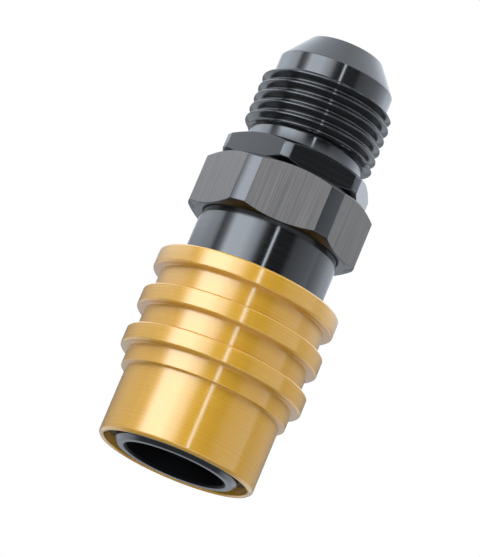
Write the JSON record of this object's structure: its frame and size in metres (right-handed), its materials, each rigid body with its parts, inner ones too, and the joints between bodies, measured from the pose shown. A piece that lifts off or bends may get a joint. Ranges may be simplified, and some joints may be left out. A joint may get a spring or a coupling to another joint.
{
  "type": "quick coupling socket",
  "caption": "Socket half of a ball-lock quick coupling for fluid lines: ribbed sliding release sleeve, spring-loaded valve inside, hexagon body and a threaded flare end.",
  "frame": {"origin": "on the axis, in the plane of the nose's front face, on which the part stands", "axes": "+Z along the axis from the socket to the flare; -Y is normal to the body hexagon's flat that faces the camera"},
  "size_m": [0.0264, 0.0264, 0.0631],
  "materials": {
    "black_anodised": "satin black anodised",
    "gold_anodised": "satin gold anodised",
    "spring_steel": "drawn spring wire",
    "ball_steel": "polished bearing steel",
    "plain_aluminium": "turned, uncoated",
    "seal_rubber": "smooth moulded",
    "white_ptfe": "turned"
  },
  "bodies": {
    "coupler": {"coupler_body": "black_anodised", "sleeve_stop_ring": "spring_steel", "plug_seal": "seal_rubber", "seal_backup_ring": "white_ptfe", "valve_guide": "plain_aluminium", "valve_spring": "spring_steel", "flare_adapter": "black_anodised", "adapter_seal": "seal_rubber"},
    "spring": {"sleeve_spring": "spring_steel"},
    "sleeve": {"release_sleeve": "gold_anodised"},
    "valve": {"poppet": "plain_aluminium", "poppet_seal": "seal_rubber"},
    "ball_1": {"lock_ball_1": "ball_steel"},
    "ball_2": {"lock_ball_2": "ball_steel"},
    "ball_3": {"lock_ball_3": "ball_steel"},
    "ball_4": {"lock_ball_4": "ball_steel"},
    "ball_5": {"lock_ball_5": "ball_steel"},
    "ball_6": {"lock_ball_6": "ball_steel"},
    "ball_7": {"lock_ball_7": "ball_steel"},
    "ball_8": {"lock_ball_8": "ball_steel"}
  },
  "joints": [
    {"name": "sleeve_spin", "type": "hinge", "parent": "coupler", "child": "spring", "pos_m": [0, 0, 0.0122], "axis": [0, 0, 1], "continuous": true},
    {"name": "sleeve_slide", "type": "slide", "parent": "spring", "child": "sleeve", "axis": [0, 0, 1], "range_m": [0, 0.0042], "stiffness_N_per_m": 300, "springref_m": -0.012, "deforming": ["sleeve_spring"]},
    {"name": "poppet_slide", "type": "slide", "parent": "coupler", "child": "valve", "axis": [0, 0, 1], "range_m": [0, 0.004], "stiffness_N_per_m": 1300, "springref_m": -0.005, "deforming": ["valve_spring"]},
    {"name": "ball_1_slide", "type": "slide", "parent": "coupler", "child": "ball_1", "axis": [1, 0, 0], "range_m": [0, 0.001]},
    {"name": "ball_2_slide", "type": "slide", "parent": "coupler", "child": "ball_2", "axis": [0.7071, 0.7071, 0], "range_m": [0, 0.001]},
    {"name": "ball_3_slide", "type": "slide", "parent": "coupler", "child": "ball_3", "axis": [0, 1, 0], "range_m": [0, 0.001]},
    {"name": "ball_4_slide", "type": "slide", "parent": "coupler", "child": "ball_4", "axis": [-0.7071, 0.7071, 0], "range_m": [0, 0.001]},
    {"name": "ball_5_slide", "type": "slide", "parent": "coupler", "child": "ball_5", "axis": [-1, 0, 0], "range_m": [0, 0.001]},
    {"name": "ball_6_slide", "type": "slide", "parent": "coupler", "child": "ball_6", "axis": [-0.7071, -0.7071, 0], "range_m": [0, 0.001]},
    {"name": "ball_7_slide", "type": "slide", "parent": "coupler", "child": "ball_7", "axis": [0, -1, 0], "range_m": [0, 0.001]},
    {"name": "ball_8_slide", "type": "slide", "parent": "coupler", "child": "ball_8", "axis": [0.7071, -0.7071, 0], "range_m": [0, 0.001]}
  ],
  "couplings": [
    {"joint": "ball_1_slide", "follows": "sleeve_slide", "ratio": 0.238},
    {"joint": "ball_2_slide", "follows": "sleeve_slide", "ratio": 0.238},
    {"joint": "ball_3_slide", "follows": "sleeve_slide", "ratio": 0.238},
    {"joint": "ball_4_slide", "follows": "sleeve_slide", "ratio": 0.238},
    {"joint": "ball_5_slide", "follows": "sleeve_slide", "ratio": 0.238},
    {"joint": "ball_6_slide", "follows": "sleeve_slide", "ratio": 0.238},
    {"joint": "ball_7_slide", "follows": "sleeve_slide", "ratio": 0.238},
    {"joint": "ball_8_slide", "follows": "sleeve_slide", "ratio": 0.238}
  ]
}
